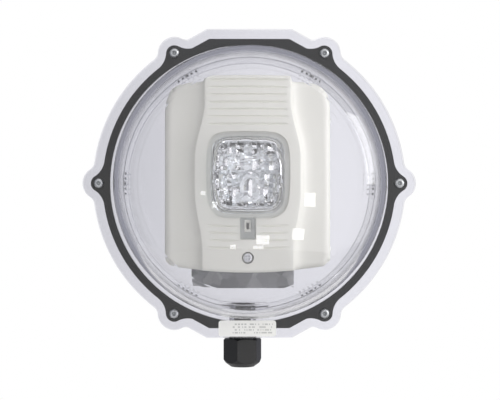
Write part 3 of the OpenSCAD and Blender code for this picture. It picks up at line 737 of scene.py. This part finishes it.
def build_tab(lens):
    """The flat clear tab below the lens, open where the slide's window is."""
    centre_x = (lens_low.x + lens_high.x) / 2
    low = tab_bottom()
    high = lens_mid_z() - lens.height / 2 - FIT
    half = lens.tab_width / 2
    back = cover_low.y + TAB_SEAT - FIT
    front = cover_low.y - 0.5 * MM
    middle_z = low + WINDOW_UP
    bm = bmesh.new()
    outer = [bm.verts.new((centre_x + x, front, z)) for x, z in ((-half, low), (half, low), (half, high),
                                                                 (-half, high))]
    frame_face = bm.faces.new(outer)
    bmesh.ops.inset_individual(bm, faces=[frame_face], thickness=1.5 * MM, depth=0.0)
    window = min(bm.faces, key=lambda f: max(abs(v.co.x - centre_x) for v in f.verts))
    for vertex in window.verts:
        side = math.copysign(1.0, vertex.co.x - centre_x)
        lift = math.copysign(1.0, vertex.co.z - (low + high) / 2)
        vertex.co = Vector((centre_x + side * 2.4 * MM, front, middle_z + lift * 4.4 * MM))
    bmesh.ops.delete(bm, geom=[window], context="FACES_ONLY")
    made = bmesh.ops.extrude_face_region(bm, geom=list(bm.faces))["geom"]
    moved = [item for item in made if isinstance(item, bmesh.types.BMVert)]
    bmesh.ops.translate(bm, verts=moved, vec=(0.0, back - front, 0.0))
    bmesh.ops.recalc_face_normals(bm, faces=bm.faces)
    rims = [e for e in bm.edges if len(e.link_faces) == 2 and e.calc_face_angle(0.0) > 1.0
            and max(v.co.y for v in e.verts) < front + 0.2 * MM]
    bmesh.ops.bevel(bm, geom=rims, offset=0.3 * MM, affect="EDGES", segments=2, profile=0.5, material=-1)
    return bm


def build_screws(places, head_r, head_h, shank_r, length, socket_r):
    """Pan head screws with a round, tapered recess, each given by its place under the head; they point to the
    wall.
    """
    bm = bmesh.new()
    for place in places:
        edge = 0.35 * head_h
        profile = [(0.0, length), (shank_r * 0.6, length), (shank_r, length - shank_r * 0.5), (shank_r, 0.0),
                   (head_r, 0.0), (head_r, -head_h + 2 * edge), (head_r - 0.3 * edge, -head_h + edge),
                   (head_r - edge, -head_h + 0.3 * edge), (head_r - 2 * edge, -head_h),
                   (socket_r, -head_h), (0.3 * socket_r, -head_h * 0.25), (0.0, -head_h * 0.15)]
        line = [bm.verts.new(place + Vector((r, y, 0.0))) for r, y in profile]
        edges = [bm.edges.new(pair) for pair in zip(line, line[1:])]
        bmesh.ops.spin(bm, geom=line + edges, cent=place, axis=(0.0, 1.0, 0.0), angle=2 * math.pi, steps=36,
                       use_merge=True, use_duplicate=False)
    bmesh.ops.remove_doubles(bm, verts=bm.verts, dist=0.01 * MM)
    bmesh.ops.recalc_face_normals(bm, faces=bm.faces)
    return bm


def cross_cutters(place, head_h, reach, width):
    """The two bars of a screw's cross recess."""
    low, high = -place.y + head_h * 0.1, -place.y + 2 * head_h
    return [prism(rectangle(place.x, place.z, half_w, half_h), high, low)
            for half_w, half_h in ((reach, width), (width, reach))]


def build_reflector():
    """The bright bowl behind the flash tube, in a flange of the lens's outline."""
    low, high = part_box("reflector")
    centre = ((low.x + high.x) / 2, lens_mid_z())
    lens = lens_settings()
    bowl_r = lens.width / 2 - 5 * MM
    depth = high.y - low.y
    steps = 16

    def place(i, j):
        u, v = -1 + 2 * i / steps, -1 + 2 * j / steps
        # Rings of the grid become circles inside the bowl
        big = max(abs(u), abs(v))
        length_uv = math.hypot(u, v) or 1.0
        ring = min(1.0, big / BOWL_SHARE)
        to_round = 1.0 - smooth_step((big - BOWL_SHARE) / (1.0 - BOWL_SHARE))
        circle_x, circle_z = u / length_uv * ring * bowl_r, v / length_uv * ring * bowl_r
        px, pz = lens_place(lens, u, v)
        x = circle_x * to_round + px * 0.93 * (1 - to_round)
        z = circle_z * to_round + pz * 0.93 * (1 - to_round)
        r = math.hypot(x, z)
        sink = max(0.0, 1.0 - (r / bowl_r) ** 2) * (depth - 1.5 * MM)
        return Vector((centre[0] + x, low.y + sink, centre[1] + z))

    bm = bmesh.new()
    place_grid(bm, steps + 1, steps + 1, place)
    bmesh.ops.recalc_face_normals(bm, faces=bm.faces)
    if sum(f.normal.y for f in bm.faces) > 0:
        bmesh.ops.reverse_faces(bm, faces=bm.faces)
    bmesh.ops.solidify(bm, geom=list(bm.faces), thickness=0.9 * MM)
    return bm


# ---- operators ----


class HORN_OT_shells(bpy.types.Operator):
    """Gives the clear dome and tub, their gasket, screws, inserts and label their finishes"""

    bl_idname = "horn_strobe.shells"
    bl_label = "Enclosure"

    def execute(self, context):
        shell = context.scene.horn_strobe_shell
        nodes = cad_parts
        dress(nodes["dome"], clear_polycarbonate("Polycarbonate clear moulded", shell.dome_tint, 0.05))
        # The tub's tint is greyer than the dome's, so the tub reads darker than the dome.
        dress(nodes["rear_housing"], clear_polycarbonate("Polycarbonate greyed moulded", shell.tub_tint, 0.12))
        dress(nodes["gasket"], moulded_rubber("EPDM rubber moulded", shell.gasket_black))
        brass = turned_metal("Brass turned", linear("#c9a45c"), 0.28, 0.5 * MM)
        dress(nodes["housing_inserts"], brass)
        steel = turned_metal("Stainless steel cold headed", linear("#b9bbbd"), 0.32, 0.4 * MM)
        low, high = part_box("dome_screws")
        out = (high.x - low.x) / 2 - COVER_SCREW_R
        middle = (low + high) / 2
        seat_y = low.y + COVER_SCREW_H
        places = [Vector((middle.x + out * math.cos(a), seat_y, middle.z + out * math.sin(a)))
                  for a in around(6)]
        bm = build_screws(places, COVER_SCREW_R, COVER_SCREW_H, COVER_SHANK_R, high.y - seat_y,
                          0.6 * COVER_SCREW_R)
        screws = finish_piece(bm, "cover_screws", "dome_cover", steel, 40.0)
        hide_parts("dome_screws")
        low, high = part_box("rating_label")
        film = printed_film("Polyester film printed", linear("#f7f7f3"), linear("#3c3e42"),
                            (low + high) / 2, 2.1 * MM)
        dress(nodes["rating_label"], film)
        return {"FINISHED"}


class HORN_OT_gland(bpy.types.Operator):
    """Gives the cable gland its nylon and its seals their rubber"""

    bl_idname = "horn_strobe.gland"
    bl_label = "Cable gland"

    def execute(self, context):
        shell = context.scene.horn_strobe_shell
        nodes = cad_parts
        nylon = moulded_plastic("Nylon moulded", shell.nylon_black, 0.42, 0.5 * MM, 0.05 * MM, 0.15)
        for name in ("gland_body", "gland_thrust_ring", "gland_nut"):
            dress(nodes[name], nylon)
        rubber = moulded_rubber("Nitrile rubber moulded", shell.gasket_black)
        for name in ("gland_washer", "gland_seal", "box_grommet"):
            dress(nodes[name], rubber)
        return {"FINISHED"}


class HORN_OT_wiring(bpy.types.Operator):
    """Gives the wiring box, the mounting plate and their fittings their finishes"""

    bl_idname = "horn_strobe.wiring"
    bl_label = "Wiring box and plate"

    def execute(self, context):
        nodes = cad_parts
        zinc = galvanised_sheet("Galvanised steel folded", linear("#a3a3a4"), linear("#7d7e80"))
        dress(nodes["wiring_box"], zinc)
        steel = turned_metal("Steel zinc plated", linear("#a5a8ab"), 0.36, 0.4 * MM)
        for name in ("box_screws", "plate_screws", "terminal_screws", "assembly_screws"):
            dress(nodes[name], steel)
        low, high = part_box("head_screw")
        bright = turned_metal("Stainless steel cold headed", linear("#d9dadb"), 0.3, 0.4 * MM)
        place = Vector(((low.x + high.x) / 2, low.y + HEAD_SCREW_H, (low.z + high.z) / 2))
        head_r = (high.x - low.x) / 2
        bm = build_screws([place], head_r, HEAD_SCREW_H, HEAD_SHANK_R, high.y - place.y, 0.5 * head_r)
        screw = finish_piece(bm, "head_captive_screw", "enclosure", bright, 40.0)
        for cutter in cross_cutters(place, HEAD_SCREW_H, 0.6 * head_r, 0.15 * head_r):
            cut_away(screw, cutter)
        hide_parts("head_screw")
        green = turned_metal("Steel green passivated", linear("#2f7d46"), 0.4, 0.4 * MM)
        dress(nodes["ground_screw"], green)
        ivory = moulded_plastic("ABS ivory moulded", linear("#dedbd0"), 0.5, 0.6 * MM, 0.05 * MM)
        for name in ("mounting_plate", "head_back"):
            dress(nodes[name], ivory)
        black = moulded_plastic("PBT black moulded", linear("#26272a"), 0.45, 0.6 * MM, 0.05 * MM, 0.12)
        for name in ("terminal_block", "candela_switch", "selector_housing", "sounder_housing"):
            dress(nodes[name], black)
        gilt = turned_metal("Brass stamped", linear("#c8a860"), 0.3, 0.5 * MM)
        for name in ("contact_springs", "contact_pins", "sounder_disc"):
            dress(nodes[name], gilt)
        return {"FINISHED"}


class HORN_OT_head(bpy.types.Operator):
    """Builds the head's white front moulding"""

    bl_idname = "horn_strobe.head"
    bl_label = "Head"

    def execute(self, context):
        settings = context.scene.horn_strobe_head
        bm, shape = build_head(settings)
        white = moulded_plastic("ABS white spark eroded", settings.white, 0.4, 0.55 * MM, 0.035 * MM, 0.02)
        cover = finish_piece(bm, "head_front", "enclosure", white, 30.0)
        for cutter in head_cutters(shape):
            cut_away(cover, cutter)
        soften(cover, 32.0)
        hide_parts("head_cover")
        return {"FINISHED"}


class HORN_OT_lens(bpy.types.Operator):
    """Builds the clear lens with its prisms and the tab with its window"""

    bl_idname = "horn_strobe.lens"
    bl_label = "Lens"

    def execute(self, context):
        lens = context.scene.horn_strobe_lens
        clear = clear_polycarbonate("Polycarbonate optical moulded", lens.clear, 0.03)
        block = finish_piece(build_lens(lens), "lens_block", "enclosure", clear, 14.0)
        frosted = clear_polycarbonate("Polycarbonate spark eroded", linear("#e1e3e4"), 0.2)
        tab = finish_piece(build_tab(lens), "lens_tab", "enclosure", frosted, 35.0)
        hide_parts("strobe_lens")
        tab["part"] = "strobe_lens"
        return {"FINISHED"}


class HORN_OT_strobe(bpy.types.Operator):
    """Builds the reflector and gives the flash tube and its leads their finishes"""

    bl_idname = "horn_strobe.strobe"
    bl_label = "Strobe"

    def execute(self, context):
        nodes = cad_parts
        bright = turned_metal("ABS vacuum metallised", linear("#eceef0"), 0.08, 3 * MM)
        bowl = finish_piece(build_reflector(), "reflector_bowl", "enclosure", bright, 2.0)
        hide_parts("reflector")
        dress(nodes["flash_tube"], clear_polycarbonate("Glass drawn", linear("#f7f9fa"), 0.0))
        tinned = turned_metal("Copper tinned", linear("#c4c6c7"), 0.3, 0.6 * MM)
        dress(nodes["tube_leads"], tinned)
        return {"FINISHED"}


class HORN_OT_electronics(bpy.types.Operator):
    """Gives the board and its parts their finishes"""

    bl_idname = "horn_strobe.electronics"
    bl_label = "Electronics"

    def execute(self, context):
        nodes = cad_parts
        board = moulded_plastic("Glass epoxy solder masked", linear("#1f5b3a"), 0.3, 1.2 * MM, 0.04 * MM,
                                0.15)
        dress(nodes["circuit_board"], board)
        sleeve = moulded_plastic("PVC sleeve shrunk", linear("#22314f"), 0.32, 2 * MM, 0.03 * MM, 0.1)
        dress(nodes["flash_capacitor"], sleeve)
        amber = moulded_plastic("Enamelled wire wound", linear("#b98a35"), 0.35, 0.5 * MM, 0.2 * MM, 0.15)
        dress(nodes["trigger_transformer"], amber)
        white = moulded_plastic("Acetal white moulded", linear("#e6e6e2"), 0.38, 0.5 * MM, 0.03 * MM)
        dress(nodes["candela_slide"], white)
        orange = moulded_plastic("Nylon orange moulded", linear("#d2762a"), 0.4, 0.5 * MM, 0.03 * MM)
        dress(nodes["tone_selector"], orange)
        return {"FINISHED"}


class HORN_OT_stage(bpy.types.Operator):
    """Makes the camera, the floor, the room light and the softboxes"""

    bl_idname = "horn_strobe.stage"
    bl_label = "Stage"

    def execute(self, context):
        stage = context.scene.horn_strobe_stage
        eye = Vector((-0.011, -1.05, -0.024))
        target = Vector((0.0005, -0.05, -0.0125))
        camera_data = bpy.data.cameras.new("camera")
        camera_data.lens = 96.0
        camera_data.sensor_width = 36.0
        camera = bpy.data.objects.new("camera", camera_data)
        camera.location = eye
        camera.rotation_euler = (target - eye).to_track_quat("-Z", "Y").to_euler()
        context.scene.collection.objects.link(camera)
        context.scene.camera = camera
        context.scene.view_settings.view_transform = "Standard"
        context.scene.world = room_light(stage)
        middle = (cad_low + cad_high) / 2
        for name, aim, size, distance, radiance in SOFTBOXES:
            light = bpy.data.lights.new(name, "AREA")
            light.shape = "RECTANGLE"
            light.size, light.size_y = size
            light.energy = radiance * math.pi * size[0] * size[1]
            if name == "key":
                light.energy = stage.key_power
            lamp = bpy.data.objects.new(name, light)
            direction = Vector(aim).normalized()
            lamp.location = middle + direction * distance
            lamp.rotation_euler = direction.to_track_quat("Z", "Y").to_euler()
            context.scene.collection.objects.link(lamp)
        bm = bmesh.new()
        bmesh.ops.create_circle(bm, cap_ends=True, segments=96, radius=0.6)
        bmesh.ops.translate(bm, verts=bm.verts, vec=(0.0, middle.y, cad_low.z - stage.floor_drop))
        mesh = bpy.data.meshes.new("floor")
        bm.to_mesh(mesh)
        bm.free()
        floor = bpy.data.objects.new("floor", mesh)
        context.scene.collection.objects.link(floor)
        mesh.materials.append(moulded_plastic("Paper white", linear("#f0f0ee"), 0.8, 2 * MM, 0.05 * MM, 0.01))
        return {"FINISHED"}


# Each softbox: name, direction from the object, size, distance and brightness
SOFTBOXES = (
    ("key", (0.97, -0.30, 0.30), (0.9, 1.1), 1.8, 0.0),
    ("window_right", (0.436, -0.895, -0.104), (0.12, 0.145), 1.5, 3.6),
    ("window_low_right", (0.348, -0.870, -0.348), (0.13, 0.12), 1.5, 3.2),
    ("window_low", (0.100, -0.915, -0.394), (0.14, 0.10), 1.5, 3.6),
    ("window_lower", (0.066, -0.880, -0.472), (0.11, 0.13), 1.5, 3.2),
    ("window_lowest", (0.154, -0.865, -0.482), (0.08, 0.07), 1.5, 2.4),
    ("window_low_left", (-0.112, -0.872, -0.480), (0.06, 0.18), 1.5, 3.4),
    ("window_left", (-0.330, -0.940, -0.060), (0.05, 0.04), 1.5, 4.0),
    ("window_left_low", (-0.248, -0.950, -0.140), (0.05, 0.06), 1.5, 4.0),
)


def room_light(stage):
    """A bright wall behind the object, a little dimmer on the left. Away from the view axis it falls to a
    violet grey that gives the clear walls their dark outlines. The room in front is dimmer on the left.
    The camera itself sees plain white all round."""
    world = bpy.data.worlds.new("room")
    world.use_nodes = True
    tree = world.node_tree
    tree.nodes.clear()
    output = add(tree, "ShaderNodeOutputWorld")
    coords = add(tree, "ShaderNodeTexCoord")
    split = add(tree, "ShaderNodeSeparateXYZ", {}, {"Vector": coords.outputs["Generated"]})
    behind = remap(tree, split.outputs["Y"], {"From Min": 0.05, "From Max": 0.45,
                                              "interpolation_type": "SMOOTHSTEP"})
    sideways = remap(tree, split.outputs["X"], {"From Min": -0.95, "From Max": 0.35,
                                                "interpolation_type": "SMOOTHSTEP"})
    across = remap(tree, split.outputs["X"], {"From Min": -0.14, "From Max": 0.08})
    front = tuple(c * stage.front for c in linear("#f8f7f7")[:3]) + (1.0,)
    dimmer = tuple(c * stage.front * 0.4 for c in linear("#eceef4")[:3]) + (1.0,)
    back = (stage.backdrop * 1.1,) * 3 + (1.0,)
    shaded = (stage.backdrop * 0.8,) * 3 + (1.0,)
    verge = tuple(c * stage.backdrop * 0.42 for c in linear("#e4e5f2")[:3]) + (1.0,)
    flat = add(tree, "ShaderNodeVectorMath", {"operation": "MULTIPLY", 1: (1.0, 0.0, 1.0)},
               {0: coords.outputs["Generated"]})
    off_axis = add(tree, "ShaderNodeVectorMath", {"operation": "LENGTH"}, {0: flat.outputs["Vector"]})
    outside = remap(tree, off_axis.outputs["Value"], {"From Min": 0.15, "From Max": 0.24})
    wall_tone = blend(tree, outside, blend(tree, across, shaded, back), verge)
    tone = blend(tree, behind, blend(tree, sideways, dimmer, front), wall_tone)
    ray = add(tree, "ShaderNodeLightPath")
    seen = blend(tree, ray.outputs["Is Camera Ray"], tone, (1.0, 1.0, 1.0, 1.0))
    sky = add(tree, "ShaderNodeBackground", {"Strength": 1.0}, {"Color": seen})
    tree.links.new(sky.outputs["Background"], output.inputs["Surface"])
    return world


class HORN_PT_panel(bpy.types.Panel):
    """Lists what the builder can make"""

    bl_label = "Horn Strobe"
    bl_idname = "HORN_PT_panel"
    bl_space_type = "VIEW_3D"
    bl_region_type = "UI"
    bl_category = "Horn Strobe"

    def draw(self, context):
        for operator in OPERATORS:
            self.layout.operator(operator.bl_idname)


OPERATORS = (HORN_OT_stage, HORN_OT_shells, HORN_OT_gland, HORN_OT_wiring, HORN_OT_head, HORN_OT_lens,
             HORN_OT_strobe, HORN_OT_electronics)
SETTINGS = {"horn_strobe_head": HeadSettings, "horn_strobe_lens": LensSettings,
            "horn_strobe_shell": ShellSettings, "horn_strobe_stage": StageSettings}


def register():
    for cls in (*SETTINGS.values(), *OPERATORS, HORN_PT_panel):
        bpy.utils.register_class(cls)
    for name, cls in SETTINGS.items():
        setattr(bpy.types.Scene, name, PointerProperty(type=cls))


def unregister():
    for name in SETTINGS:
        delattr(bpy.types.Scene, name)
    for cls in (HORN_PT_panel, *reversed(OPERATORS), *reversed(SETTINGS.values())):
        bpy.utils.unregister_class(cls)


def main():
    register()
    bpy.ops.horn_strobe.stage()
    bpy.ops.horn_strobe.shells()
    bpy.ops.horn_strobe.gland()
    bpy.ops.horn_strobe.wiring()
    bpy.ops.horn_strobe.head()
    bpy.ops.horn_strobe.lens()
    bpy.ops.horn_strobe.strobe()
    bpy.ops.horn_strobe.electronics()


if __name__ == "__main__":
    main()
